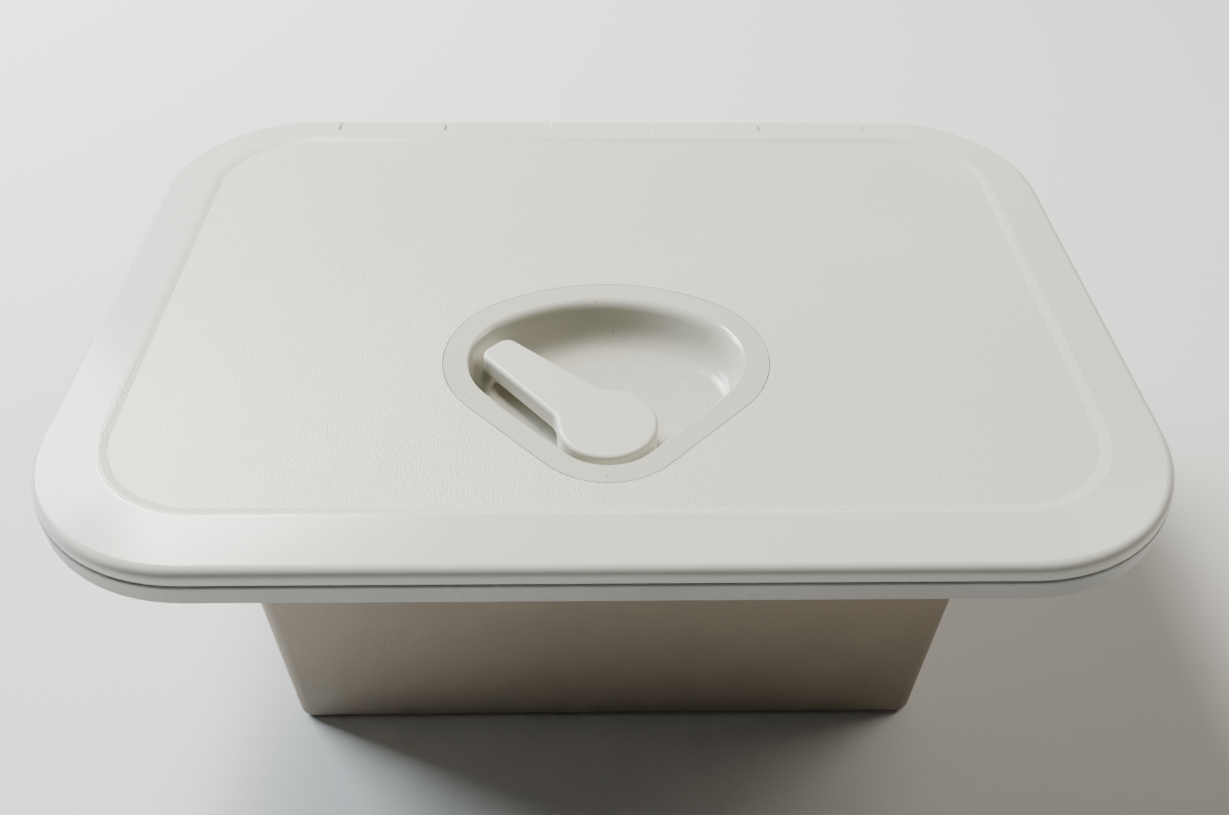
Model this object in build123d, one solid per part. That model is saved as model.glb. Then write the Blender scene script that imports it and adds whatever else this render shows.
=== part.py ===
from build123d import *
import os
from math import cos, radians, sin, sqrt

# A flush-latching deck hatch with a lift-out storage tub.
# Millimetres. The origin is the middle of the flange's underside, which lies on the deck:
# X runs along the hinge, Y points from the latch to the hinge, Z is up.

# ---------------------------------------------------------------- driving dimensions
# Flange and frame
FLANGE_W = 375.0
FLANGE_D = 270.0
FLANGE_CORNER_R = 60.0
FLANGE_H = 7.4
FLOOR_T = 3.0
RIM_W = 7.0
RIM_EDGE_R = 1.2
COAMING_TOP = 9.6
COAMING_T = 9.0
LEDGE_Z = 5.6
COLLAR_T = 2.5
COLLAR_BOTTOM = -24.0

# Storage tub
TUB_SIDE_INSET = 63.5
TUB_END_INSET = 32.0
TUB_CORNER_R = 6.0
TUB_WALL = 2.5
TUB_BOTTOM = -120.0
TUB_TAPER = 3.4
TUB_RIM_W = 6.0
TUB_RIM_T = 2.5
TUB_RIM_EDGE_R = 0.8
TUB_GAP = 1.0
TUB_RIM_GAP = 0.5
TUB_FLOOR_R = 3.5

# Lid seal, in a groove on the coaming
SEAL_GROOVE_W = 5.0
SEAL_GROOVE_DEPTH = 2.0
SEAL_SIDE_GAP = 0.2
SEAL_LIP_R = 1.6
SEAL_GAP = 0.1

# Lid
LID_INSET = 0.5
LID_BOTTOM = 7.7
LID_SHOULDER_Z = 13.0
LID_EDGE_R = 3.6
LID_WALL = 3.0
PANEL_Z = 14.6
PANEL_T = 2.8
CREST_Z = 15.4
BORDER_W = 25.0
CREST_INSET = 20.5
CREST_FLAT_W = 0.6
CREST_R = 1.4
SEAL_LAND_W = 6.0
SEAL_LAND_DROP = 0.4
RIB_T = 2.0
RIB_BOTTOM = 9.4
RIB_X_SHARES = (-0.75, -0.375, 0.0, 0.375, 0.75)
REAR_RIB_Y_SHARES = (0.3, 0.65)
SIDE_RIB_Y_SHARES = (-0.1, -0.6)

# Hinge
BARREL_R = 5.5
PIN_R = 1.5
PIN_HOLD_GAP = 0.02
PIN_RUN_GAP = 0.08
KNUCKLE_PITCH = 48.0
SLOTS_PER_SIDE = 3
SLOT_W = 1.2
SLOT_DEPTH = 14.0
HINGE_END_W = 17.0
FRAME_KNUCKLE_R = 3.4
FRAME_KNUCKLE_END_GAP = 0.4
ROOF_GAP = 0.5
WEB_BACK = 2.6
HINGE_NOTCH_END_GAP = 17.0
HINGE_FLOOR_GAP = 0.44
PLUG_L = 3.0

# Latch dish: a sector-shaped scoop whose sides lie along the lever's two end positions
HUB_INSET = 63.5
DISH_SIDE = 20.0
DISH_REACH = 67.0
DISH_CORNER_R = 28.0
DISH_DEPTH = 14.5
DISH_FLOOR_REACH = 47.0
DISH_FLOOR_CORNER_R = 16.0
DISH_WALL = 2.5
SCOOP_STEPS = 8
SCOOP_FLOOR_PULL = 0.85
SCOOP_RIM_PULL = 0.35
SCOOP_RIM_RISE = 0.92
DISH_LIP = 0.8
DISH_LIP_FADE = 8.0
DISH_FLANGE_W = 8.6
DISH_FLANGE_T = 1.5
DISH_GASKET_T = 0.3
DISH_FIT = 0.3
DISH_SCREW_INSET = 3.7
DISH_BOSS_R = 1.9
DISH_SKIN = 0.8
DISH_SCREW_R = 1.0
DISH_SCREW_HEAD_R = 3.4
DISH_SCREW_HEAD_T = 2.0
REAR_SCREW_ANGLE = 25.0
SIDE_SCREW_ALONG = 25.0

# Latch lever
LEVER_ANGLE = 45.0
LEVER_TOP = 14.0
LEVER_HUB_R = 17.0
LEVER_REACH = 57.5
LEVER_ROOT_W = 22.8
LEVER_TIP_W = 13.6
LEVER_TIP_R = 4.5
LEVER_NECK_R = 8.0
LEVER_SKIN = 2.6
LEVER_WALL = 2.0
LEVER_ARM_BOTTOM = 7.2
LEVER_EDGE_R = 1.5
LEVER_FLOOR_GAP = 0.6

# Spindle, bush, cam and keeper
SPINDLE_R = 5.0
SPINDLE_RUN_GAP = 0.05
SPINDLE_SQUARE = 7.0
LEVER_BOSS_R = 7.5
SQUARE_FIT = 0.05
BUSH_WALL = 1.5
BUSH_FLANGE_R = 9.0
BUSH_FLANGE_T = 1.0
WASHER_T = 1.4
WASHER_INSET = 0.5
FACE_GAP = 0.05
O_RING_R = 0.9
CAM_T = 3.0
CAM_W = 12.0
CAM_END_GAP = 0.4
CAM_BOSS_R = 9.0
CAM_EDGE_R = 1.0
CAM_WASHER_R = 7.0
CAM_WASHER_T = 1.0
CAM_SCREW_R = 1.5
CAM_SCREW_HEAD_R = 4.5
CAM_SCREW_HEAD_T = 2.4
CAM_SCREW_EDGE_R = 1.2
CROSS_L = 4.0
CROSS_W = 0.9
KEEPER_W = 32.0
KEEPER_T = 1.6
KEEPER_LIP = 4.9
KEEPER_TOP = 5.0
KEEPER_GAP = 0.7
KEEPER_SCREW_X = 10.0
NOTCH_SIDE_GAP = 4.0
NOTCH_DEPTH_GAP = 3.5
KEEPER_SCREW_R = 1.5
KEEPER_SCREW_HEAD_R = 2.8
KEEPER_SCREW_HEAD_T = 1.8

# Deck screw holes
SCREW_R = 2.25
SCREW_SINK_R = 4.2
CORNER_SCREW_INSET = (32.5, 35.0)
END_SCREW_X = 60.0
END_SCREW_INSET = 12.2
SIDE_SCREW_INSET = 27.5

# ---------------------------------------------------------------- sizes that follow
TUB_W = FLANGE_W - 2 * TUB_SIDE_INSET
TUB_D = FLANGE_D - 2 * TUB_END_INSET
HUB_Y = HUB_INSET - FLANGE_D / 2
OPEN_HALF = (TUB_W / 2 + TUB_GAP, TUB_D / 2 + TUB_GAP)
REBATE_HALF = (
    TUB_W / 2 + TUB_RIM_W + TUB_RIM_GAP,
    TUB_D / 2 + TUB_RIM_W + TUB_RIM_GAP,
)
SEAL_HALF = (REBATE_HALF[0] + COAMING_T / 2, REBATE_HALF[1] + COAMING_T / 2)
LID_HALF = (FLANGE_W / 2 - LID_INSET, FLANGE_D / 2 - LID_INSET)
LID_CORNER_R = FLANGE_CORNER_R - LID_INSET
CEILING_Z = PANEL_Z - PANEL_T
BORDER_SLOPE = (CREST_Z - LID_SHOULDER_Z) / CREST_INSET
SEAL_LAND_Z = CEILING_Z - SEAL_LAND_DROP
AXIS_Y = LID_HALF[1] - BARREL_R
AXIS_Z = LID_SHOULDER_Z - (1 - BORDER_SLOPE) * BARREL_R
HINGE_NOTCH_Z = AXIS_Z - BARREL_R - HINGE_FLOOR_GAP
HINGE_HALF = (SLOTS_PER_SIDE - 0.5) * KNUCKLE_PITCH + HINGE_END_W
SLOT_X = [(i + 0.5) * KNUCKLE_PITCH for i in range(-SLOTS_PER_SIDE, SLOTS_PER_SIDE)]
DISH_FLOOR = PANEL_Z - DISH_DEPTH
DISH_UNDER = DISH_FLOOR - DISH_WALL
FLANGE_SEAT = PANEL_Z - DISH_FLANGE_T - DISH_GASKET_T
CAM_TOP = DISH_UNDER - BUSH_FLANGE_T - WASHER_T - 2 * FACE_GAP
CAM_BOTTOM = CAM_TOP - CAM_T
CAM_REACH = OPEN_HALF[1] + HUB_Y - CAM_END_GAP
KEEPER_LIP_TOP = CAM_TOP + KEEPER_GAP + KEEPER_T

# Working values: beyond everything, next to nothing, how far a cutter runs past a face,
# and how far one shape runs into another that it is joined to
FAR = 1000.0
SMALL = 0.001
CUT_PAST = 1.0
WELD = 0.1


# ---------------------------------------------------------------- helpers
def slab(half, corner_r, z0, z1):
    """A rounded rectangle of half sizes half, from z0 up to z1."""
    return Pos(0, 0, z0) * extrude(
        RectangleRounded(2 * half[0], 2 * half[1], corner_r), z1 - z0
    )


def grown(half, by):
    """Half sizes half, moved out by a distance."""
    return (half[0] + by, half[1] + by)


def frustum(half0, r0, z0, half1, r1, z1):
    """A ruled solid between two rounded rectangles."""
    low = Pos(0, 0, z0) * RectangleRounded(2 * half0[0], 2 * half0[1], r0)
    high = Pos(0, 0, z1) * RectangleRounded(2 * half1[0], 2 * half1[1], r1)
    return loft([low, high], ruled=True)


def tub_corner(half_x):
    """Corner radius of a ring concentric with the tub's corner, at half width half_x."""
    return TUB_CORNER_R + half_x - TUB_W / 2


def block(x0, x1, y0, y1, z0, z1):
    """A box given by its limits."""
    return Pos((x0 + x1) / 2, (y0 + y1) / 2, (z0 + z1) / 2) * Box(
        x1 - x0, y1 - y0, z1 - z0
    )


def post(r, z0, z1, x=0.0, y=0.0):
    """An upright cylinder from z0 to z1."""
    return Pos(x, y, (z0 + z1) / 2) * Cylinder(r, z1 - z0)


def rod_x(r, x0, x1):
    """A cylinder along the hinge axis from x0 to x1."""
    return Pos((x0 + x1) / 2, AXIS_Y, AXIS_Z) * Rot(0, 90, 0) * Cylinder(r, x1 - x0)


def at_hub(shape):
    """Places a shape made about the latch's turning axis."""
    return Pos(0, HUB_Y, 0) * shape


def lever_frame(u, v):
    """Place of a point given along (u) and across (v) the lever's resting direction, from the hub."""
    a = radians(LEVER_ANGLE)
    return (-u * sin(a) + v * cos(a), HUB_Y + u * cos(a) + v * sin(a))


def sector(grow, reach=DISH_REACH, corner_r=DISH_CORNER_R):
    """A sector's outline about the latch axis, moved out by grow. Its straight sides stay put."""
    side = DISH_SIDE + grow
    far = reach + grow
    span = far + side
    corner = Pos(span / 2 - side, span / 2 - side) * Rectangle(span, span)
    outline = Circle(far) & corner
    apex = outline.vertices().sort_by(lambda v: v.X + v.Y)[0]
    outline = fillet(apex, side)
    rims = [v for v in outline.vertices() if abs(Vector(v).length - far) < SMALL]
    outline = fillet(rims, corner_r + grow)
    return Rot(0, 0, 45) * outline


def bank(t):
    """How far out and how far up the S-shaped bank is, both from 0 to 1, a share t along it."""
    low = 3 * (1 - t) ** 2 * t
    high = 3 * (1 - t) * t**2
    out = low * SCOOP_FLOOR_PULL + high * (1 - SCOOP_RIM_PULL) + t**3
    return out, high * SCOOP_RIM_RISE + t**3


def scoop(grow, floor_z, rim_z):
    """A bowl inside the sector: level floor, then the bank, while its two sides go straight up."""
    sections = []
    for i in range(SCOOP_STEPS + 1):
        out, up = bank(i / SCOOP_STEPS)
        reach = DISH_FLOOR_REACH + out * (DISH_REACH - DISH_FLOOR_REACH)
        corner_r = DISH_FLOOR_CORNER_R + out * (DISH_CORNER_R - DISH_FLOOR_CORNER_R)
        z = floor_z + up * (rim_z - floor_z)
        sections.append(Pos(0, 0, z) * sector(grow, reach, corner_r))
    return loft(sections)


def save(name, shape):
    """Writes one named piece."""
    export_step(shape, os.path.join("parts", name + ".step"))


# ---------------------------------------------------------------- fixed pieces
def make_frame():
    """Flange, gutter, coaming and collar in one moulding, with the three fixed hinge knuckles."""
    outer = (FLANGE_W / 2, FLANGE_D / 2)
    rim = slab(outer, FLANGE_CORNER_R, 0, FLANGE_H)
    rim = fillet(rim.edges().group_by(Axis.Z)[-1], RIM_EDGE_R)
    gutter_half = grown(outer, -RIM_W)
    body = rim - slab(gutter_half, FLANGE_CORNER_R - RIM_W, FLOOR_T, FLANGE_H)
    coaming_half = grown(REBATE_HALF, COAMING_T)
    body += slab(coaming_half, tub_corner(coaming_half[0]), 0, COAMING_TOP)
    collar_half = grown(OPEN_HALF, COLLAR_T)
    body += slab(collar_half, tub_corner(collar_half[0]), COLLAR_BOTTOM, FLOOR_T)
    body -= slab(OPEN_HALF, tub_corner(OPEN_HALF[0]), COLLAR_BOTTOM, COAMING_TOP)
    body -= slab(REBATE_HALF, tub_corner(REBATE_HALF[0]), LEDGE_Z, COAMING_TOP)
    groove_out = grown(SEAL_HALF, SEAL_GROOVE_W / 2)
    groove_in = grown(SEAL_HALF, -SEAL_GROOVE_W / 2)
    groove_z = COAMING_TOP - SEAL_GROOVE_DEPTH
    body -= slab(groove_out, tub_corner(groove_out[0]), groove_z, COAMING_TOP) - slab(
        groove_in, tub_corner(groove_in[0]), groove_z, COAMING_TOP
    )
    notch_x = HINGE_HALF + HINGE_NOTCH_END_GAP
    notch_y = AXIS_Y - BARREL_R - ROOF_GAP
    body -= block(-notch_x, notch_x, notch_y, FLANGE_D, HINGE_NOTCH_Z, FLANGE_H)
    for x0, x1 in frame_knuckles():
        body += rod_x(FRAME_KNUCKLE_R, x0, x1)
        y0 = AXIS_Y - BARREL_R
        body += block(x0, x1, y0, AXIS_Y - WEB_BACK, 0, AXIS_Z - ROOF_GAP)
    body -= rod_x(PIN_R + PIN_HOLD_GAP, -HINGE_HALF, HINGE_HALF)
    for x, y in screw_places():
        body -= post(SCREW_R, -CUT_PAST, FLOOR_T + CUT_PAST, x, y)
        body -= Pos(x, y, FLOOR_T - (SCREW_SINK_R - SCREW_R) / 2) * Cone(
            SCREW_R, SCREW_SINK_R, SCREW_SINK_R - SCREW_R
        )
    for x in (-KEEPER_SCREW_X, KEEPER_SCREW_X):
        body -= keeper_shaft(x)
    return body


def frame_knuckles():
    """X limits of the frame's knuckles: every second span between two slots."""
    end = SLOT_W / 2 + FRAME_KNUCKLE_END_GAP
    return [(SLOT_X[i] + end, SLOT_X[i + 1] - end) for i in range(0, len(SLOT_X), 2)]


def screw_places():
    """Centres of the ten countersunk deck screw holes."""
    corner = (FLANGE_W / 2 - CORNER_SCREW_INSET[0], FLANGE_D / 2 - CORNER_SCREW_INSET[1])
    end = (END_SCREW_X, FLANGE_D / 2 - END_SCREW_INSET)
    side_x = FLANGE_W / 2 - SIDE_SCREW_INSET
    places = [(sx * x, sy * y) for x, y in (corner, end) for sx in (-1, 1) for sy in (-1, 1)]
    return places + [(-side_x, 0.0), (side_x, 0.0)]


def keeper_face():
    """Y of the collar's front inner face, which the keeper is screwed to."""
    return -OPEN_HALF[1]


def keeper_shaft(x):
    """The shank of one keeper screw, which runs through the collar."""
    y0 = keeper_face() - COLLAR_T
    y1 = keeper_face() + KEEPER_T
    z = (KEEPER_LIP_TOP + KEEPER_TOP) / 2
    return Pos(x, (y0 + y1) / 2, z) * Rot(90, 0, 0) * Cylinder(KEEPER_SCREW_R, y1 - y0)


def make_keeper():
    """Bent steel plate on the collar: the cam turns under its lip."""
    y = keeper_face()
    half = KEEPER_W / 2
    leg = block(-half, half, y, y + KEEPER_T, KEEPER_LIP_TOP - KEEPER_T, KEEPER_TOP)
    lip = block(
        -half, half, y, y + KEEPER_LIP, KEEPER_LIP_TOP - KEEPER_T, KEEPER_LIP_TOP
    )
    plate = leg + lip
    for x in (-KEEPER_SCREW_X, KEEPER_SCREW_X):
        plate -= keeper_shaft(x)
    return plate


def make_keeper_screws():
    """Two pan-head screws that hold the keeper."""
    y = keeper_face() + KEEPER_T
    z = (KEEPER_LIP_TOP + KEEPER_TOP) / 2
    screws = []
    for x in (-KEEPER_SCREW_X, KEEPER_SCREW_X):
        head = Pos(x, y + KEEPER_SCREW_HEAD_T / 2, z) * Rot(90, 0, 0) * Cylinder(
            KEEPER_SCREW_HEAD_R, KEEPER_SCREW_HEAD_T
        )
        screws.append(keeper_shaft(x) + head)
    return Compound(children=screws)


def make_tub():
    """Thin-walled storage box that hangs by its rim, with a notch in front for the keeper and cam."""
    half = (TUB_W / 2, TUB_D / 2)
    low = grown(half, -TUB_TAPER)
    rim_top = LEDGE_Z + TUB_RIM_T
    low_r = TUB_CORNER_R
    outside = frustum(low, low_r, TUB_BOTTOM, half, TUB_CORNER_R, rim_top)
    outside = fillet(outside.edges().group_by(Axis.Z)[0], TUB_FLOOR_R)
    rim_half = grown(half, TUB_RIM_W)
    rim = slab(rim_half, tub_corner(rim_half[0]), LEDGE_Z, rim_top)
    rim = fillet(rim.edges().group_by(Axis.Z)[-1], TUB_RIM_EDGE_R)
    inner_r = TUB_CORNER_R - TUB_WALL
    inside = frustum(
        grown(low, -TUB_WALL),
        inner_r,
        TUB_BOTTOM + TUB_WALL,
        grown(half, -TUB_WALL),
        inner_r,
        rim_top + CUT_PAST,
    )
    inside = fillet(inside.edges().group_by(Axis.Z)[0], TUB_FLOOR_R - TUB_WALL)
    tub = outside + rim - inside
    notch_half = KEEPER_W / 2 + NOTCH_SIDE_GAP
    notch_z = CAM_BOTTOM - NOTCH_DEPTH_GAP
    notch = block(-notch_half, notch_half, -FLANGE_D, 0, notch_z, FAR)
    lower_edges = notch.edges().filter_by(Axis.Y).group_by(Axis.Z)[0]
    return tub - fillet(lower_edges, NOTCH_SIDE_GAP)


def make_lid_seal():
    """Rubber ring in the coaming's groove: a flat base with a soft round crown."""
    base_w = SEAL_GROOVE_W - 2 * SEAL_SIDE_GAP
    base_z = COAMING_TOP - SEAL_GROOVE_DEPTH
    crown_z = SEAL_LAND_Z - SEAL_GAP
    outer = grown(SEAL_HALF, base_w / 2)
    inner = grown(SEAL_HALF, -base_w / 2)
    base = slab(outer, tub_corner(outer[0]), base_z, COAMING_TOP)
    base -= slab(inner, tub_corner(inner[0]), base_z, COAMING_TOP)
    out2 = grown(SEAL_HALF, SEAL_LIP_R)
    in2 = grown(SEAL_HALF, -SEAL_LIP_R)
    crown = slab(out2, tub_corner(out2[0]), base_z, crown_z)
    crown -= slab(in2, tub_corner(in2[0]), base_z, crown_z)
    crown = fillet(crown.edges().group_by(Axis.Z)[-1], SEAL_LIP_R / 2)
    return base + crown


def make_hinge_pin():
    """Stainless rod through every knuckle."""
    end = HINGE_HALF - PLUG_L
    return chamfer(rod_x(PIN_R, -end, end).edges(), PIN_R / 4)


# ---------------------------------------------------------------- lid
def border_z(inset):
    """Height of the lid's sloping border at a distance in from the lid's edge."""
    return LID_SHOULDER_Z + BORDER_SLOPE * inset


def make_lid():
    """Lid moulding: bevelled border, sunk grained panel, ribs, seal land and moving knuckles."""
    crest_half = grown(LID_HALF, -CREST_INSET)
    crest_r = LID_CORNER_R - CREST_INSET
    body = slab(LID_HALF, LID_CORNER_R, LID_BOTTOM, LID_SHOULDER_Z)
    body += frustum(
        LID_HALF, LID_CORNER_R, LID_SHOULDER_Z, crest_half, crest_r, CREST_Z
    )
    shoulder = body.edges().filter_by_position(
        Axis.Z, LID_SHOULDER_Z - SMALL, LID_SHOULDER_Z + SMALL
    )
    body = fillet(shoulder, LID_EDGE_R)
    panel_half = grown(LID_HALF, LID_INSET - BORDER_W)
    panel_r = FLANGE_CORNER_R - BORDER_W
    flank = CREST_INSET + CREST_FLAT_W
    sink = frustum(
        panel_half,
        panel_r,
        PANEL_Z,
        grown(LID_HALF, -flank),
        LID_CORNER_R - flank,
        CREST_Z,
    )
    body -= sink
    body = fillet(crest_edges(body), CREST_R)

    # hollow underside
    cavity_half = grown(LID_HALF, -LID_WALL)
    cavity_r = LID_CORNER_R - LID_WALL
    wall_top = border_z(LID_WALL) - PANEL_T
    flat_inset = (CEILING_Z - LID_SHOULDER_Z + PANEL_T) / BORDER_SLOPE
    flat_half = grown(LID_HALF, -flat_inset)
    cavity = slab(cavity_half, cavity_r, LID_BOTTOM, wall_top)
    cavity += frustum(
        cavity_half,
        cavity_r,
        wall_top,
        flat_half,
        LID_CORNER_R - flat_inset,
        CEILING_Z,
    )
    body -= cavity
    body += lid_ribs()
    body += seal_land()

    # hinge: filled solid, then cut to the barrel's round below it and behind it
    front_y = AXIS_Y - BARREL_R - CUT_PAST
    low_z = AXIS_Z - BARREL_R - CUT_PAST
    body += block(-HINGE_HALF, HINGE_HALF, front_y, LID_HALF[1], low_z, CEILING_Z)
    outside = block(-FLANGE_W, FLANGE_W, AXIS_Y, FLANGE_D, -FAR, FAR)
    outside += block(-HINGE_HALF, HINGE_HALF, front_y, AXIS_Y, -FAR, AXIS_Z)
    body -= outside - rod_x(BARREL_R, -FLANGE_W, FLANGE_W)
    roof_y = AXIS_Y - BARREL_R - ROOF_GAP
    for x0, x1 in frame_knuckles():
        span = (x0 - SLOT_W, x1 + SLOT_W)
        body -= rod_x(FRAME_KNUCKLE_R + ROOF_GAP, *span)
        body -= block(*span, roof_y, FLANGE_D, 0, AXIS_Z)
    for x in SLOT_X:
        body -= block(
            x - SLOT_W / 2,
            x + SLOT_W / 2,
            LID_HALF[1] - SLOT_DEPTH,
            FLANGE_D,
            0,
            PANEL_Z,
        )
    body -= rod_x(PIN_R + PIN_RUN_GAP, -HINGE_HALF, HINGE_HALF)

    # dish seat
    body -= at_hub(extrude(sector(DISH_WALL + DISH_FIT), PANEL_Z))
    seat = extrude(sector(DISH_FLANGE_W), DISH_FLANGE_T + DISH_GASKET_T)
    body -= Pos(0, HUB_Y, FLANGE_SEAT) * seat
    for x, y in dish_screw_places():
        body -= post(DISH_BOSS_R + DISH_FIT, 0, PANEL_Z, x, y)
    return body


def crest_edges(body):
    """Edges along the border's highest line."""
    return body.edges().filter_by_position(Axis.Z, CREST_Z - SMALL, CREST_Z + SMALL)


def lid_ribs():
    """Stiffening ribs under the panel, clear of the dish."""
    y_back = OPEN_HALF[1] - RIB_T
    x_side = OPEN_HALF[0] - RIB_T
    dish_back = HUB_Y + DISH_REACH + DISH_FLANGE_W + RIB_T
    ribs = []
    for share in RIB_X_SHARES:
        x = share * x_side
        y0 = -y_back if abs(x) > DISH_REACH else dish_back
        ribs.append(rib(x - RIB_T / 2, x + RIB_T / 2, y0, y_back))
    for share in REAR_RIB_Y_SHARES:
        y = share * y_back
        ribs.append(rib(-x_side, x_side, y - RIB_T / 2, y + RIB_T / 2))
    for share in SIDE_RIB_Y_SHARES:
        y = share * y_back
        ribs.append(rib(-x_side, -DISH_REACH, y - RIB_T / 2, y + RIB_T / 2))
        ribs.append(rib(DISH_REACH, x_side, y - RIB_T / 2, y + RIB_T / 2))
    return Part() + ribs


def rib(x0, x1, y0, y1):
    """One rib, which runs a little way into the panel."""
    return block(x0, x1, y0, y1, RIB_BOTTOM, CEILING_Z + WELD)


def seal_land():
    """Flat raised track under the lid that presses on the seal."""
    outer = grown(SEAL_HALF, SEAL_LAND_W / 2)
    inner = grown(SEAL_HALF, -SEAL_LAND_W / 2)
    land = slab(outer, tub_corner(outer[0]), SEAL_LAND_Z, CEILING_Z + WELD)
    return land - slab(inner, tub_corner(inner[0]), SEAL_LAND_Z, CEILING_Z + WELD)


def make_hinge_plugs():
    """Two plugs that close the ends of the pin's bore."""
    end = HINGE_HALF - PLUG_L
    r = PIN_R + PIN_RUN_GAP
    return Compound(children=[rod_x(r, -HINGE_HALF, -end), rod_x(r, end, HINGE_HALF)])


# ---------------------------------------------------------------- latch dish
def dish_screw_places():
    """Centres of the four screws that pull the dish down, just outside its wall."""
    out = DISH_WALL + DISH_SCREW_INSET
    a = radians(REAR_SCREW_ANGLE)
    reach = DISH_REACH + out
    places = [(s * reach * sin(a), HUB_Y + reach * cos(a)) for s in (-1, 1)]
    side = DISH_SIDE + out
    places.append(lever_frame(SIDE_SCREW_ALONG, -side))
    x, y = places[-1]
    places.append((-x, y))
    return places


def make_dish():
    """Scooped finger recess with a flush flange and a bore for the bush."""
    flange_z = PANEL_Z - DISH_FLANGE_T
    shell_top = PANEL_Z - DISH_WALL
    body = scoop(DISH_WALL, DISH_UNDER, shell_top)
    body += Pos(0, 0, shell_top) * extrude(sector(DISH_WALL), DISH_WALL)
    flange = extrude(sector(DISH_FLANGE_W - DISH_FIT), DISH_FLANGE_T)
    body += Pos(0, 0, flange_z) * flange
    body -= scoop(0, DISH_FLOOR, PANEL_Z)
    bush_r = SPINDLE_R + SPINDLE_RUN_GAP + BUSH_WALL
    body -= post(bush_r, DISH_UNDER - CUT_PAST, PANEL_Z)
    body -= front_bevel()
    body = at_hub(body)
    for x, y in dish_screw_places():
        body += post(DISH_BOSS_R, CEILING_Z + FACE_GAP, flange_z + WELD, x, y)
        body -= post(DISH_SCREW_R, CEILING_Z, PANEL_Z - DISH_SKIN, x, y)
    return body


def front_bevel():
    """Takes the sharp corner off the straight sides' top edges and fades out before the bank."""
    low = sector(-DISH_LIP, DISH_REACH - DISH_LIP_FADE)
    return Pos(0, 0, PANEL_Z - 2 * DISH_LIP) * extrude(low, 2 * DISH_LIP, taper=-45)


def make_dish_gasket():
    """Thin foam gasket under the dish's flange."""
    ring = extrude(sector(DISH_FLANGE_W - DISH_FIT), DISH_GASKET_T)
    ring -= extrude(sector(DISH_WALL + DISH_FIT), DISH_GASKET_T)
    ring = Pos(0, HUB_Y, FLANGE_SEAT) * ring
    for x, y in dish_screw_places():
        ring -= post(DISH_BOSS_R, 0, PANEL_Z, x, y)
    return ring


def make_dish_screws():
    """Four pan-head screws up through the lid into the dish's bosses."""
    screws = []
    for x, y in dish_screw_places():
        head = post(DISH_SCREW_HEAD_R, CEILING_Z - DISH_SCREW_HEAD_T, CEILING_Z, x, y)
        screws.append(head + post(DISH_SCREW_R, CEILING_Z, PANEL_Z - DISH_SKIN, x, y))
    return Compound(children=screws)


def make_bush():
    """Flanged nylon bush that the spindle turns in."""
    bore = SPINDLE_R + SPINDLE_RUN_GAP
    sleeve = post(bore + BUSH_WALL, DISH_UNDER, DISH_FLOOR)
    flange = post(BUSH_FLANGE_R, DISH_UNDER - BUSH_FLANGE_T, DISH_UNDER)
    return at_hub(sleeve + flange - post(bore, -FAR, FAR))


# ---------------------------------------------------------------- latch
def lever_outline(inset):
    """Keyhole outline: round hub and a tapering arm along +Y, drawn in by inset."""
    root = LEVER_ROOT_W / 2 - inset
    tip = LEVER_TIP_W / 2 - inset
    end = LEVER_REACH - inset
    arm = make_face(Polyline((-root, 0), (root, 0), (tip, end), (-tip, end), close=True))
    tips = arm.vertices().group_by(Axis.Y)[-1]
    arm = fillet(tips, LEVER_TIP_R - inset)
    outline = Circle(LEVER_HUB_R - inset) + arm
    necks = [v for v in outline.vertices() if SMALL < v.Y < LEVER_HUB_R]
    return fillet(necks, LEVER_NECK_R + inset)


def make_lever():
    """Hollow lever with a round hub, a skirt round its arm and a square socket."""
    hub_bottom = DISH_FLOOR + LEVER_FLOOR_GAP
    body = extrude(lever_outline(0), LEVER_TOP - LEVER_ARM_BOTTOM)
    body = Pos(0, 0, LEVER_ARM_BOTTOM) * body
    top = body.edges().group_by(Axis.Z)[-1]
    body = fillet(top, LEVER_EDGE_R)
    inside = extrude(lever_outline(LEVER_WALL), LEVER_TOP - LEVER_SKIN - LEVER_ARM_BOTTOM)
    body -= Pos(0, 0, LEVER_ARM_BOTTOM) * inside
    skirt = post(LEVER_HUB_R, hub_bottom, LEVER_ARM_BOTTOM)
    skirt -= post(LEVER_HUB_R - LEVER_WALL, hub_bottom, LEVER_ARM_BOTTOM)
    body += skirt
    body += post(LEVER_BOSS_R, hub_bottom, LEVER_TOP - LEVER_SKIN)
    mid = (LEVER_HUB_R + LEVER_REACH) / 2
    body += Pos(0, mid, (LEVER_ARM_BOTTOM + LEVER_TOP - LEVER_SKIN) / 2) * Box(
        LEVER_TIP_W - LEVER_WALL, RIB_T, LEVER_TOP - LEVER_SKIN - LEVER_ARM_BOTTOM
    )
    side = SPINDLE_SQUARE + 2 * SQUARE_FIT
    socket_h = LEVER_TOP - LEVER_SKIN - hub_bottom
    body -= Pos(0, 0, hub_bottom + socket_h / 2) * Box(side, side, socket_h)
    return at_hub(Rot(0, 0, LEVER_ANGLE) * body)


def make_spindle():
    """Spindle: square ends for the lever and cam, round where the bush holds it, drilled for the screw."""
    round_top = DISH_FLOOR + LEVER_FLOOR_GAP - FACE_GAP
    square_top = LEVER_TOP - LEVER_SKIN - FACE_GAP
    half = SPINDLE_SQUARE / 2
    body = post(SPINDLE_R, CAM_TOP, round_top)
    body += block(-half, half, -half, half, CAM_BOTTOM + FACE_GAP, square_top)
    body -= o_ring_groove()
    body -= post(CAM_SCREW_R + SQUARE_FIT, CAM_BOTTOM, screw_tip() + FACE_GAP)
    return at_hub(Rot(0, 0, LEVER_ANGLE) * body)


def screw_tip():
    """Height that the cam screw reaches inside the spindle."""
    return DISH_FLOOR + LEVER_ARM_BOTTOM / 2


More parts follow.
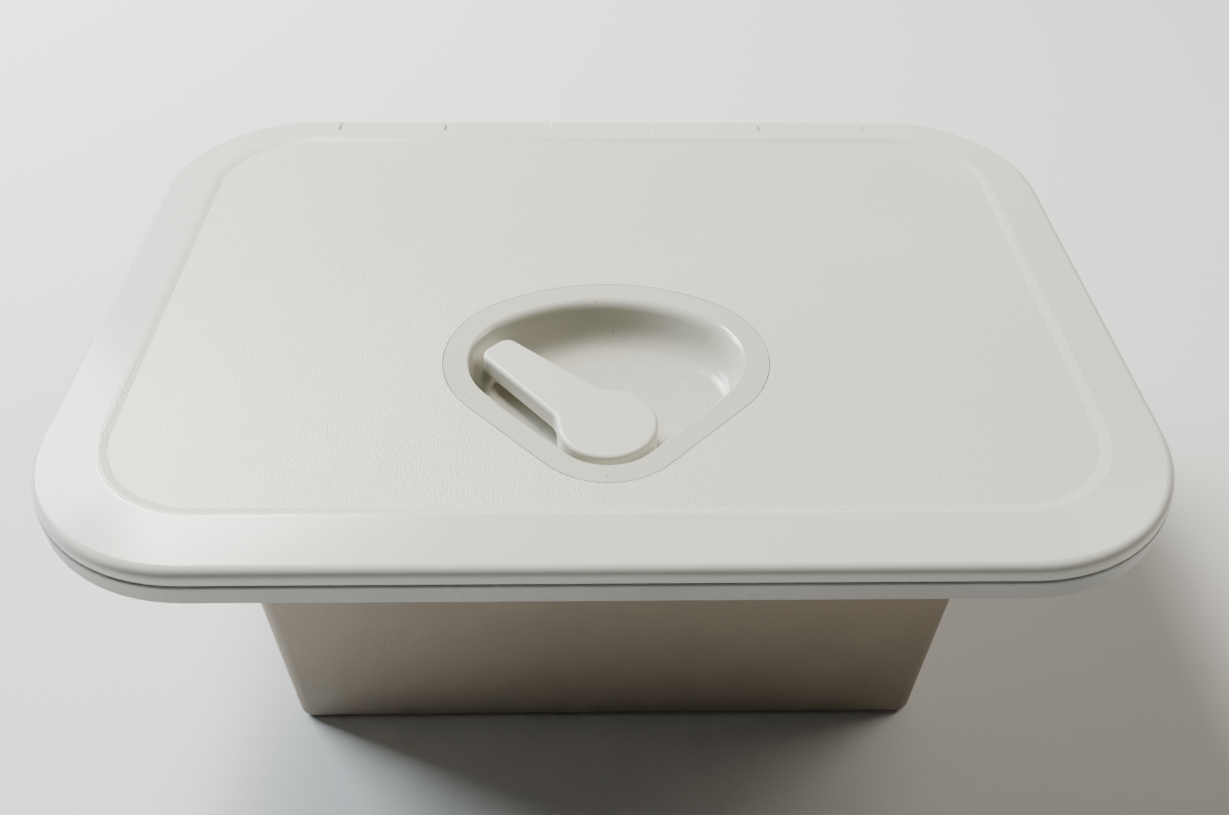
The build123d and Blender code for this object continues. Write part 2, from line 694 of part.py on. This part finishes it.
def o_ring_z():
    """Height of the seal ring inside the bush."""
    return (DISH_FLOOR + DISH_UNDER) / 2


def o_ring_groove():
    """Square groove round the spindle for the seal ring."""
    z0 = o_ring_z() - O_RING_R - FACE_GAP
    z1 = o_ring_z() + O_RING_R + FACE_GAP
    return post(SPINDLE_R + O_RING_R, z0, z1) - post(SPINDLE_R - 2 * O_RING_R, z0, z1)


def make_o_ring():
    """Seal ring on the spindle."""
    return Pos(0, HUB_Y, o_ring_z()) * Torus(SPINDLE_R - O_RING_R, O_RING_R)


def make_washer():
    """Friction washer between the bush and the cam."""
    top = DISH_UNDER - BUSH_FLANGE_T - FACE_GAP
    ring = post(BUSH_FLANGE_R - WASHER_INSET, CAM_TOP + FACE_GAP, top)
    return at_hub(ring - post(SPINDLE_R + FACE_GAP, CAM_TOP - CUT_PAST, top + CUT_PAST))


def make_cam():
    """Cam that turns under the keeper; at rest it points along +X, a quarter turn short of it."""
    arm_l = CAM_REACH
    arm = Pos(arm_l / 2, 0, 0) * Box(arm_l, CAM_W, CAM_T)
    arm = fillet(arm.edges().filter_by(Axis.Z).group_by(Axis.X)[-1], CAM_W / 3)
    body = arm + Cylinder(CAM_BOSS_R, CAM_T)
    body = fillet(body.edges().group_by(Axis.Z)[0], CAM_EDGE_R)
    side = SPINDLE_SQUARE + 2 * SQUARE_FIT
    body -= Rot(0, 0, LEVER_ANGLE) * Box(side, side, 2 * CAM_T)
    return Pos(0, HUB_Y, (CAM_TOP + CAM_BOTTOM) / 2) * body


def make_cam_washer():
    """Plain washer under the cam."""
    ring = post(CAM_WASHER_R, CAM_BOTTOM - CAM_WASHER_T, CAM_BOTTOM)
    return at_hub(ring - post(CAM_SCREW_R + SQUARE_FIT, -FAR, 0))


def make_cam_screw():
    """Pan-head screw up into the spindle, with a cross recess."""
    seat = CAM_BOTTOM - CAM_WASHER_T
    head_z = seat - CAM_SCREW_HEAD_T
    head = post(CAM_SCREW_HEAD_R, head_z, seat)
    head = fillet(head.edges().group_by(Axis.Z)[0], CAM_SCREW_EDGE_R)
    for angle in (0, 90):
        cut = Pos(0, 0, head_z) * Box(CROSS_L, CROSS_W, CAM_SCREW_HEAD_T)
        head -= Rot(0, 0, angle) * cut
    return at_hub(head + post(CAM_SCREW_R, seat, screw_tip()))


# ---------------------------------------------------------------- build
PIECES = {
    "frame": make_frame,
    "lid_seal": make_lid_seal,
    "storage_tub": make_tub,
    "hinge_pin": make_hinge_pin,
    "latch_keeper": make_keeper,
    "keeper_screws": make_keeper_screws,
    "lid": make_lid,
    "hinge_pin_plugs": make_hinge_plugs,
    "latch_dish": make_dish,
    "dish_gasket": make_dish_gasket,
    "dish_screws": make_dish_screws,
    "spindle_bush": make_bush,
    "latch_lever": make_lever,
    "latch_spindle": make_spindle,
    "spindle_o_ring": make_o_ring,
    "friction_washer": make_washer,
    "latch_cam": make_cam,
    "cam_washer": make_cam_washer,
    "cam_screw": make_cam_screw,
}

os.makedirs("parts", exist_ok=True)
for piece_name, make in PIECES.items():
    save(piece_name, make())
    print("wrote", piece_name)
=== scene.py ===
# %% [markdown]
# # A deck hatch
# A white moulded lid on a flange, a turn lever in a scooped recess, and a storage tub
# below. The shapes come from the CAD frame, and this lesson gives each of them the finish
# of the real thing. Lengths are in metres and the deck plane is z = 0. X runs along the
# hinge, Y points from the latch to the hinge and Z is up.

# %% Load the frame
import bpy
import math
from mathutils import Matrix, Vector


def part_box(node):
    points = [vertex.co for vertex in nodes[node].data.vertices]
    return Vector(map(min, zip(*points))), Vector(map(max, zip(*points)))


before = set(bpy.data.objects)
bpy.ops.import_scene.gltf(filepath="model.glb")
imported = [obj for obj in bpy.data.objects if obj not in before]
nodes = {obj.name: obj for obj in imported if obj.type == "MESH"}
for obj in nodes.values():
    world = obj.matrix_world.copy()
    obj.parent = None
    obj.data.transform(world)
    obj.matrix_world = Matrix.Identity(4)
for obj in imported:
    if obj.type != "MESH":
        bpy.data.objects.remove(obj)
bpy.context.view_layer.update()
print("pieces from the frame:", sorted(nodes))

# %% [markdown]
# ## Camera
# Someone in front of the hatch holds the camera less than half a metre from the lid and
# looks down at about 43 degrees. The lens is a fairly wide one, so the lid narrows towards
# its hinge. The three turns are put together as matrices: about Z, then about X, and last
# the slight tilt of the hand about the line of sight.

# %% Camera
LENS_MM = 33.24
SENSOR_MM = 36.0
NEAREST = 0.01
FARTHEST = 20.0
CAMERA_AT = Vector((-0.0053, -0.3457, 0.2753))
LOOK_DOWN = math.radians(42.89)
TURN = math.radians(-1.57)
TILT = math.radians(0.90)


def make_camera():
    """A camera turned about Z, tipped down from the horizon, then tilted about its own view."""
    data = bpy.data.cameras.new("camera")
    data.lens = LENS_MM
    data.sensor_width = SENSOR_MM
    data.clip_start = NEAREST
    data.clip_end = FARTHEST
    camera = bpy.data.objects.new("camera", data)
    bpy.context.scene.collection.objects.link(camera)
    aimed = Matrix.Rotation(TURN, 4, "Z") @ Matrix.Rotation(math.pi / 2 - LOOK_DOWN, 4, "X")
    camera.matrix_world = Matrix.Translation(CAMERA_AT) @ aimed @ Matrix.Rotation(TILT, 4, "Z")
    bpy.context.scene.camera = camera
    return camera


print("camera at", tuple(make_camera().location))

# %% [markdown]
# ## Building materials from nodes
# Every finish below is a tree of shader nodes, so three small helpers keep the cells
# short. `add` makes a node and fills in its settings, `put` gives an input either a wire
# or a plain value, and `calc` is one step of arithmetic.

# %% Helpers for shader nodes
def add(tree, kind, inputs=None, **settings):
    """A new node of a kind, with its settings and its inputs filled in."""
    made = tree.nodes.new(kind)
    for name, value in settings.items():
        setattr(made, name, value)
    for name, value in (inputs or {}).items():
        put(tree, made.inputs[name], value)
    return made


def put(tree, target, value):
    """Wires an output to the target, or sets the target to a plain value."""
    if isinstance(value, bpy.types.NodeSocket):
        tree.links.new(value, target)
    else:
        target.default_value = value


def calc(tree, operation, first, second=0.0):
    """One step of arithmetic on two values, each a wire or a number."""
    step = add(tree, "ShaderNodeMath", {0: first, 1: second}, operation=operation)
    return step.outputs[0]


def span(tree, value, low, high, to_low=0.0, to_high=1.0):
    """Carries the stretch from low to high over to the stretch from to_low to to_high."""
    bounds = {"From Min": low, "From Max": high, "To Min": to_low, "To Max": to_high}
    step = add(tree, "ShaderNodeMapRange", {"Value": value, **bounds})
    return step.outputs["Result"]


def blend_colour(tree, amount, first, second):
    """Mixes two colours, each a wire or four numbers."""
    mixed = add(tree, "ShaderNodeMix", data_type="RGBA")
    put(tree, mixed.inputs[0], amount)
    put(tree, mixed.inputs[6], first)
    put(tree, mixed.inputs[7], second)
    return mixed.outputs[2]


def noise(tree, place, scale, detail=2.0, rough=0.5):
    """Soft noise, from 0 to 1, at so many lumps a metre."""
    settings = {"Vector": place, "Scale": scale, "Detail": detail, "Roughness": rough}
    return add(tree, "ShaderNodeTexNoise", settings).outputs["Fac"]


def new_group(name, inputs, outputs):
    """A shader node group. Inputs are name: default number, and outputs are names."""
    group = bpy.data.node_groups.new(name, "ShaderNodeTree")
    for label, default in inputs.items():
        made = group.interface.new_socket(label, in_out="INPUT", socket_type="NodeSocketFloat")
        made.default_value = default
    for label in outputs:
        group.interface.new_socket(label, in_out="OUTPUT", socket_type="NodeSocketFloat")
    given = group.nodes.new("NodeGroupInput")
    result = group.nodes.new("NodeGroupOutput")
    place = add(group, "ShaderNodeTexCoord").outputs["Object"]
    return group, given.outputs, result.inputs, place


def use(tree, group, **values):
    """Places a node group in a tree with its own values, and returns its outputs."""
    made = add(tree, "ShaderNodeGroup", node_tree=group)
    for label, value in values.items():
        put(tree, made.inputs[label.replace("_", " ")], value)
    return made.outputs


# %% [markdown]
# ## Moulded grain
# The mould of a plastic part is spark-eroded or etched, which leaves a fine pebbled skin.
# It could be drawn with one noise, but real grain has two sizes: pebbles of about half a
# millimetre, and a finer tooth between them. The height is their sum.

# %% Group: grain
FINER = 2.3


def make_grain():
    """Height = pebbles + a finer tooth, each of them plain noise of its own size."""
    group, given, result, place = new_group(
        "moulded_grain", {"Pebbles a metre": 1800.0, "Tooth": 0.4}, ["Height"]
    )
    pebble = noise(group, place, given["Pebbles a metre"], 0.0)
    fine = noise(group, place, calc(group, "MULTIPLY", given["Pebbles a metre"], FINER), 0.0)
    height = calc(group, "ADD", pebble, calc(group, "MULTIPLY", fine, given["Tooth"]))
    put(group, result["Height"], height)
    return group


grain = make_grain()
print("group:", grain.name)

# %% [markdown]
# ## Use and age
# Plastic that has been handled is never even. Large soft patches are a little duller where
# hands and cloths have been, fine hairlines cross it, and a few specks of grit stick to it.
# One group gives all three as masks, and each material decides how strongly it shows them.

# %% Group: age
PATCH_NOISE = (0.35, 0.68)
BENDS_A_METRE = 9.0
BEND_REACH = 0.08
HAIRLINE_IN_CELLS = 0.004
GAPS_A_METRE = 30.0
GAP_NOISE = (0.52, 0.6)
GRIT_ABOVE = 0.86


def make_age():
    """Patches = slow noise. Hairlines = thin borders of large warped cells. Specks = points."""
    group, given, result, place = new_group(
        "use_and_age",
        {
            "Patches a metre": 14.0, "Hairlines a metre": 26.0,
            "Specks a metre": 330.0, "Speck size": 0.1,
        },
        ["Patches", "Hairlines", "Specks"],
    )
    patches = noise(group, place, given["Patches a metre"], 4.0, 0.6)
    put(group, result["Patches"], span(group, patches, *PATCH_NOISE))

    bend = add(group, "ShaderNodeTexNoise", {"Vector": place, "Scale": BENDS_A_METRE, "Detail": 1.0})
    bent = add(group, "ShaderNodeVectorMath", operation="MULTIPLY_ADD")
    put(group, bent.inputs[0], bend.outputs["Color"])
    put(group, bent.inputs[1], (BEND_REACH, BEND_REACH, BEND_REACH))
    put(group, bent.inputs[2], place)
    cells = add(group, "ShaderNodeTexVoronoi", {"Vector": bent.outputs[0]}, feature="DISTANCE_TO_EDGE")
    put(group, cells.inputs["Scale"], given["Hairlines a metre"])
    line = span(group, cells.outputs["Distance"], 0.0, HAIRLINE_IN_CELLS, 1.0, 0.0)
    kept = span(group, noise(group, place, GAPS_A_METRE), *GAP_NOISE)
    put(group, result["Hairlines"], calc(group, "MULTIPLY", line, kept))

    grit = add(group, "ShaderNodeTexVoronoi", {"Vector": place})
    put(group, grit.inputs["Scale"], given["Specks a metre"])
    chosen = calc(group, "GREATER_THAN", grit.outputs["Color"], GRIT_ABOVE)
    near = calc(group, "LESS_THAN", grit.outputs["Distance"], given["Speck size"])
    put(group, result["Specks"], calc(group, "MULTIPLY", chosen, near))
    return group


age = make_age()
print("group:", age.name)

# %% [markdown]
# ## Inside a rounded rectangle
# The lid is one moulding with two finishes: a smooth border and a grained panel with
# rounded corners. The border between them is the distance to a rounded rectangle, which
# has a short formula, so no mask has to be painted.

# %% Group: rounded rectangle
def make_rounded_rectangle():
    """Fold X and Y to one quarter, take off the straight part, and measure to the corner's arc.

    Inside = 1 where that distance is under the corner radius, with a soft step of one width.
    """
    group, given, result, place = new_group(
        "rounded_rectangle",
        {"Half X": 0.1, "Half Y": 0.1, "Corner": 0.03, "Softness": 0.0005},
        ["Inside"],
    )
    axes = add(group, "ShaderNodeSeparateXYZ", {0: place}).outputs
    ends = []
    for axis, half in (("X", "Half X"), ("Y", "Half Y")):
        straight = calc(group, "SUBTRACT", given[half], given["Corner"])
        beyond = calc(group, "SUBTRACT", calc(group, "ABSOLUTE", axes[axis]), straight)
        ends.append(calc(group, "MAXIMUM", beyond, 0.0))
    squares = [calc(group, "POWER", end, 2.0) for end in ends]
    reach = calc(group, "SQRT", calc(group, "ADD", squares[0], squares[1]))
    gap = calc(group, "SUBTRACT", given["Corner"], reach)
    put(group, result["Inside"], span(group, gap, 0.0, given["Softness"]))
    return group


rounded_rectangle = make_rounded_rectangle()
print("group:", rounded_rectangle.name)

# %% [markdown]
# ## Settled dust and painted shade
# Dust and grime gather where a surface faces up and where water runs to last, such as the
# bottom of a recess. The mask is the product of three things: how far the surface faces
# up, how low it lies, and patchy noise. At the bottom of the latch dish the same mask also
# stands for the shade of the recess, so there it is partly dust and partly painted shade.

# %% Group: settled dust and painted shade
DUST_NOISE = (0.3, 0.75)
DUST_SLOPES = (-0.2, 0.9)


def make_dust_and_shade():
    """Mask = facing up x nearness to the low end of a stretch of height x patchy noise."""
    group, given, result, place = new_group(
        "settled_dust_and_shade", {"Clean above": 0.01, "Thick below": 0.0, "Lumps a metre": 160.0}, ["Mask"]
    )
    normal = add(group, "ShaderNodeTexCoord").outputs["Normal"]
    up = add(group, "ShaderNodeSeparateXYZ", {0: normal}).outputs["Z"]
    height = add(group, "ShaderNodeSeparateXYZ", {0: place}).outputs["Z"]
    low = span(group, height, given["Clean above"], given["Thick below"])
    lumps = noise(group, place, given["Lumps a metre"], 5.0, 0.65)
    patchy = span(group, lumps, *DUST_NOISE)
    facing = span(group, up, *DUST_SLOPES)
    mask = calc(group, "MULTIPLY", calc(group, "MULTIPLY", facing, low), patchy)
    put(group, result["Mask"], mask)
    return group


dust = make_dust_and_shade()
print("group:", dust.name)

# %% [markdown]
# ## Moulded plastic
# Hulls, lids and levers of this kind are injection-moulded ABS. One recipe makes them all:
# a base colour that patches and dust shift a little, with painted shade at the bottom of the
# dish, a roughness that handling evens out, and a bump from the grain with the hairlines cut
# into it. The colours, the grain and the amount of age are what tells one piece from another.

# %% Recipe: moulded plastic
STAIN_SHARE = 0.5
DUST_AND_SHADE_COVER = 0.45
DUST_DULLING = 0.35
GRIT_COLOUR = (0.05, 0.045, 0.04, 1)


def start_material(name, specular=0.5):
    """An empty material with its Principled shader ready."""
    material = bpy.data.materials.new(name)
    material.use_nodes = True
    shader = material.node_tree.nodes["Principled BSDF"]
    shader.inputs["Specular IOR Level"].default_value = specular
    return material, material.node_tree, shader


def moulded_plastic(
    name, colour, stain, gloss, worn_gloss, pebbles, grain_depth,
    dust_and_shade_range=None, specks=0.0, dust_and_shade_tint=None,
):
    """Plastic whose colour leans to a stain in patches, and whose gloss is duller there.

    gloss and worn_gloss are roughness values, and grain_depth is in metres.
    """
    material, tree, shader = start_material(name)
    marks = use(tree, age)
    stained = calc(tree, "MULTIPLY", marks["Patches"], STAIN_SHARE)
    tinted = blend_colour(tree, stained, (*colour, 1), (*stain, 1))
    rough = span(tree, marks["Patches"], 0.0, 1.0, gloss, worn_gloss)
    # In the dish this mask darkens the bottom of the recess: partly dust, partly painted shade.
    if dust_and_shade_range:
        dust_and_shade_mask = use(tree, dust, Clean_above=dust_and_shade_range[0], Thick_below=dust_and_shade_range[1])["Mask"]
        covered = calc(tree, "MULTIPLY", dust_and_shade_mask, DUST_AND_SHADE_COVER)
        tinted = blend_colour(tree, covered, tinted, (*dust_and_shade_tint, 1))
        rough = calc(tree, "ADD", rough, calc(tree, "MULTIPLY", dust_and_shade_mask, DUST_DULLING))
    if specks:
        speckled = calc(tree, "MULTIPLY", marks["Specks"], specks)
        tinted = blend_colour(tree, speckled, tinted, GRIT_COLOUR)
    put(tree, shader.inputs["Base Color"], tinted)
    put(tree, shader.inputs["Roughness"], rough)
    skin = use(tree, grain, Pebbles_a_metre=pebbles)["Height"]
    cut = calc(tree, "SUBTRACT", skin, marks["Hairlines"])
    bump = add(tree, "ShaderNodeBump", {"Height": cut, "Distance": grain_depth, "Strength": 1.0})
    put(tree, shader.inputs["Normal"], bump.outputs["Normal"])
    return material


def give(material, *names):
    """Puts a material in the one slot of each CAD node."""
    for name in names:
        nodes[name].material_slots[0].material = material
    print(material.name, "on", ", ".join(names))


# %% [markdown]
# ## The fixed mouldings
# The flange is glossy and grey-white, with grime along the gap under the lid. The tub is
# a separate, cheaper moulding: thin, beige and matt, scuffed from being lifted in and out.

# %% Frame and tub finishes
GRIME = (0.30, 0.27, 0.22)
GRIME_STARTS = 0.008
GRIME_THICKEST = 0.004

give(
    moulded_plastic(
        "flange_white", colour=(0.50, 0.495, 0.47), stain=(0.42, 0.41, 0.38),
        gloss=0.22, worn_gloss=0.42, pebbles=2600.0, grain_depth=0.00002,
        dust_and_shade_range=(GRIME_STARTS, GRIME_THICKEST), specks=0.5, dust_and_shade_tint=GRIME,
    ),
    "frame",
)
give(
    moulded_plastic(
        "tub_beige", colour=(0.36, 0.30, 0.235), stain=(0.28, 0.23, 0.175),
        gloss=0.48, worn_gloss=0.66, pebbles=1500.0, grain_depth=0.00008, specks=0.5,
    ),
    "storage_tub",
)

# %% [markdown]
# ## The lid
# The border is polished and the panel inside it is grained, so feet and hands get a grip.
# Both are built as colours, roughness and height, and the rounded rectangle picks between
# them. Its half sizes are the lid's own, less the width of the border.

# %% Lid finish
BORDER = 0.0215
PANEL_CORNER = 0.038
PANEL_EDGE = 0.0004
BORDER_COLOURS = ((0.66, 0.665, 0.61, 1), (0.60, 0.60, 0.535, 1))
PANEL_COLOURS = ((0.64, 0.64, 0.55, 1), (0.575, 0.57, 0.475, 1))
BORDER_STAIN = 0.4
PANEL_STAIN = 0.6
BORDER_ROUGHNESS = (0.17, 0.27)
PANEL_ROUGHNESS = (0.31, 0.38)
LID_GRIT = (0.1, 0.09, 0.08, 1)
LID_GRIT_SHARE = 0.3
LID_GRAIN_DEPTH = 0.00013
BORDER_GRAIN_SHARE = 0.06
LID_HAIRLINE_SHARE = 0.08


def lid_finish():
    """Smooth plastic outside the rounded rectangle and grained plastic inside it."""
    material, tree, shader = start_material("lid_white")
    low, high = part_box("lid")
    panel = use(
        tree, rounded_rectangle,
        Half_X=(high[0] - low[0]) / 2 - BORDER, Half_Y=(high[1] - low[1]) / 2 - BORDER,
        Corner=PANEL_CORNER, Softness=PANEL_EDGE,
    )["Inside"]
    marks = use(tree, age, Patches_a_metre=9.0, Hairlines_a_metre=18.0, Speck_size=0.05)
    worn_border = calc(tree, "MULTIPLY", marks["Patches"], BORDER_STAIN)
    smooth = blend_colour(tree, worn_border, *BORDER_COLOURS)
    worn_panel = calc(tree, "MULTIPLY", marks["Patches"], PANEL_STAIN)
    pebbled = blend_colour(tree, worn_panel, *PANEL_COLOURS)
    tinted = blend_colour(tree, panel, smooth, pebbled)
    speckled = calc(tree, "MULTIPLY", marks["Specks"], LID_GRIT_SHARE)
    tinted = blend_colour(tree, speckled, tinted, LID_GRIT)
    put(tree, shader.inputs["Base Color"], tinted)
    polished = span(tree, marks["Patches"], 0.0, 1.0, *BORDER_ROUGHNESS)
    dull = span(tree, marks["Patches"], 0.0, 1.0, *PANEL_ROUGHNESS)
    rough = add(tree, "ShaderNodeMix", {0: panel, 2: polished, 3: dull})
    put(tree, shader.inputs["Roughness"], rough.outputs[0])
    skin = use(tree, grain, Pebbles_a_metre=1500.0)["Height"]
    depth = calc(tree, "MULTIPLY", skin, span(tree, panel, 0.0, 1.0, BORDER_GRAIN_SHARE, 1.0))
    scratched = calc(tree, "MULTIPLY", marks["Hairlines"], LID_HAIRLINE_SHARE)
    cut = calc(tree, "SUBTRACT", depth, scratched)
    bump = add(tree, "ShaderNodeBump", {"Height": cut, "Distance": LID_GRAIN_DEPTH, "Strength": 1.0})
    put(tree, shader.inputs["Normal"], bump.outputs["Normal"])
    return material


give(lid_finish(), "lid", "hinge_pin_plugs")

# %% [markdown]
# ## The latch
# The dish is highly polished, so lights show in its corners. Its colour is darker and warmer
# than the lid's, partly as painted shade of the recess, and it gets darker still towards the
# bottom, partly from dust and partly from painted shade. The lever is finer grained than the
# panel, with a few specks of grit on it.

# %% Dish and lever finishes
# Height over which the dish bottom is darkened, partly by dust and partly by painted shade.
DISH_DUST_AND_SHADE_HEIGHT = 0.008

dish_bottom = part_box("latch_dish")[0][2]

# Painted shade: the dish colour is set darker than the lid's white to stand for the shade of the recess,
# and the tint at its bottom darkens it further.
give(
    moulded_plastic(
        "dish_white", colour=(0.55, 0.54, 0.465), stain=(0.49, 0.475, 0.40),
        gloss=0.08, worn_gloss=0.16, pebbles=900.0, grain_depth=0.000006,
        dust_and_shade_range=(dish_bottom + DISH_DUST_AND_SHADE_HEIGHT, dish_bottom), specks=0.7,
        dust_and_shade_tint=(0.22, 0.21, 0.18),
    ),
    "latch_dish",
)
give(
    moulded_plastic(
        "lever_white", colour=(0.63, 0.61, 0.535), stain=(0.58, 0.555, 0.475),
        gloss=0.28, worn_gloss=0.38, pebbles=2200.0, grain_depth=0.00003, specks=0.8,
    ),
    "latch_lever",
)

# %% [markdown]
# ## Rubber, nylon and steel
# The seals are soft black rubber and the bush and washer are plain nylon, which the same
# recipe makes. Stainless steel is different: it is metal, and the fine lines of brushing
# are noise that is stretched a hundred times along one axis.

# %% Rubber, nylon and steel finishes
STEEL_COLOURS = ((0.60, 0.60, 0.59, 1), (0.50, 0.49, 0.47, 1))
STEEL_ROUGHNESS = (0.22, 0.42)
BRUSH_LINES_A_METRE = 6000.0
BRUSH_STRETCH = 100.0
BRUSH_DEPTH = 0.000004

give(
    moulded_plastic(
        "seal_rubber_black", colour=(0.025, 0.025, 0.026), stain=(0.05, 0.048, 0.045),
        gloss=0.6, worn_gloss=0.8, pebbles=2600.0, grain_depth=0.00004,
    ),
    "lid_seal", "dish_gasket", "spindle_o_ring",
)
give(
    moulded_plastic(
        "nylon_natural", colour=(0.70, 0.67, 0.60), stain=(0.60, 0.56, 0.48),
        gloss=0.35, worn_gloss=0.5, pebbles=2600.0, grain_depth=0.00001,
    ),
    "spindle_bush", "friction_washer",
)


def brushed_steel(name):
    """Metal whose roughness and height follow noise stretched along X."""
    material, tree, shader = start_material(name)
    place = add(tree, "ShaderNodeTexCoord").outputs["Object"]
    thin = (1 / BRUSH_STRETCH, 1.0, 1.0)
    stretch = add(tree, "ShaderNodeMapping", {"Vector": place, "Scale": thin}).outputs[0]
    lines = noise(tree, stretch, BRUSH_LINES_A_METRE, 2.0)
    marks = use(tree, age, Patches_a_metre=60.0)
    colour = blend_colour(tree, marks["Patches"], *STEEL_COLOURS)
    put(tree, shader.inputs["Base Color"], colour)
    shader.inputs["Metallic"].default_value = 1.0
    put(tree, shader.inputs["Roughness"], span(tree, lines, 0.3, 0.7, *STEEL_ROUGHNESS))
    bump = add(tree, "ShaderNodeBump", {"Height": lines, "Distance": BRUSH_DEPTH, "Strength": 1.0})
    put(tree, shader.inputs["Normal"], bump.outputs["Normal"])
    return material


give(
    brushed_steel("stainless_steel"),
    "hinge_pin", "latch_keeper", "keeper_screws", "dish_screws", "latch_spindle",
    "latch_cam", "cam_washer", "cam_screw",
)

# %% [markdown]
# ## Floor and light
# The hatch stands on its tub, on a plain pale floor. Daylight is imitated with large soft
# panels, all of them behind the hatch so that its front faces stay in gentle shade: a cool
# one far to the left, which the polished border reflects, a smaller and higher one nearer
# the middle, and a weak warm one at the right.

# %% Floor
FLOOR_SIZE = 6.0
FLOOR_COLOUR = (0.72, 0.715, 0.70, 1)
FLOOR_ROUGHNESS = 0.8


def make_floor(height):
    """A flat square about the hatch, at the height of the tub's underside."""
    half = FLOOR_SIZE / 2
    corners = [(-half, -half, height), (half, -half, height), (half, half, height), (-half, half, height)]
    mesh = bpy.data.meshes.new("floor")
    mesh.from_pydata(corners, [], [(0, 1, 2, 3)])
    floor = bpy.data.objects.new("floor", mesh)
    bpy.context.scene.collection.objects.link(floor)
    material, tree, shader = start_material("floor_paper", specular=0.2)
    shader.inputs["Base Color"].default_value = FLOOR_COLOUR
    shader.inputs["Roughness"].default_value = FLOOR_ROUGHNESS
    mesh.materials.append(material)


make_floor(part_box("storage_tub")[0][2])

# %% Light
ROOM_COLOUR = (0.95, 0.97, 1.0, 1.0)
ROOM_STRENGTH = 0.04


def make_light(name, place, size, watts, colour):
    """A square area light at a place, turned so that it shines at the origin."""
    data = bpy.data.lights.new(name, "AREA")
    data.shape = "SQUARE"
    data.size = size
    data.energy = watts
    data.color = colour
    light = bpy.data.objects.new(name, data)
    bpy.context.scene.collection.objects.link(light)
    light.location = place
    way = -Vector(place)
    light.rotation_euler = way.to_track_quat("-Z", "Y").to_euler()
    print("light", name, watts, "W")


make_light("left_window", (-1.5, 0.95, 1.0), size=1.0, watts=80.0, colour=(0.82, 0.93, 1.0))
make_light("back_window", (-0.75, 0.95, 1.45), size=0.6, watts=76.0, colour=(1.0, 0.97, 0.90))
make_light("right_panel", (1.3, 0.45, 1.2), size=0.8, watts=14.0, colour=(1.0, 0.94, 0.82))

world = bpy.data.worlds.new("room")
world.use_nodes = True
world.node_tree.nodes["Background"].inputs["Color"].default_value = ROOM_COLOUR
world.node_tree.nodes["Background"].inputs["Strength"].default_value = ROOM_STRENGTH
bpy.context.scene.world = world
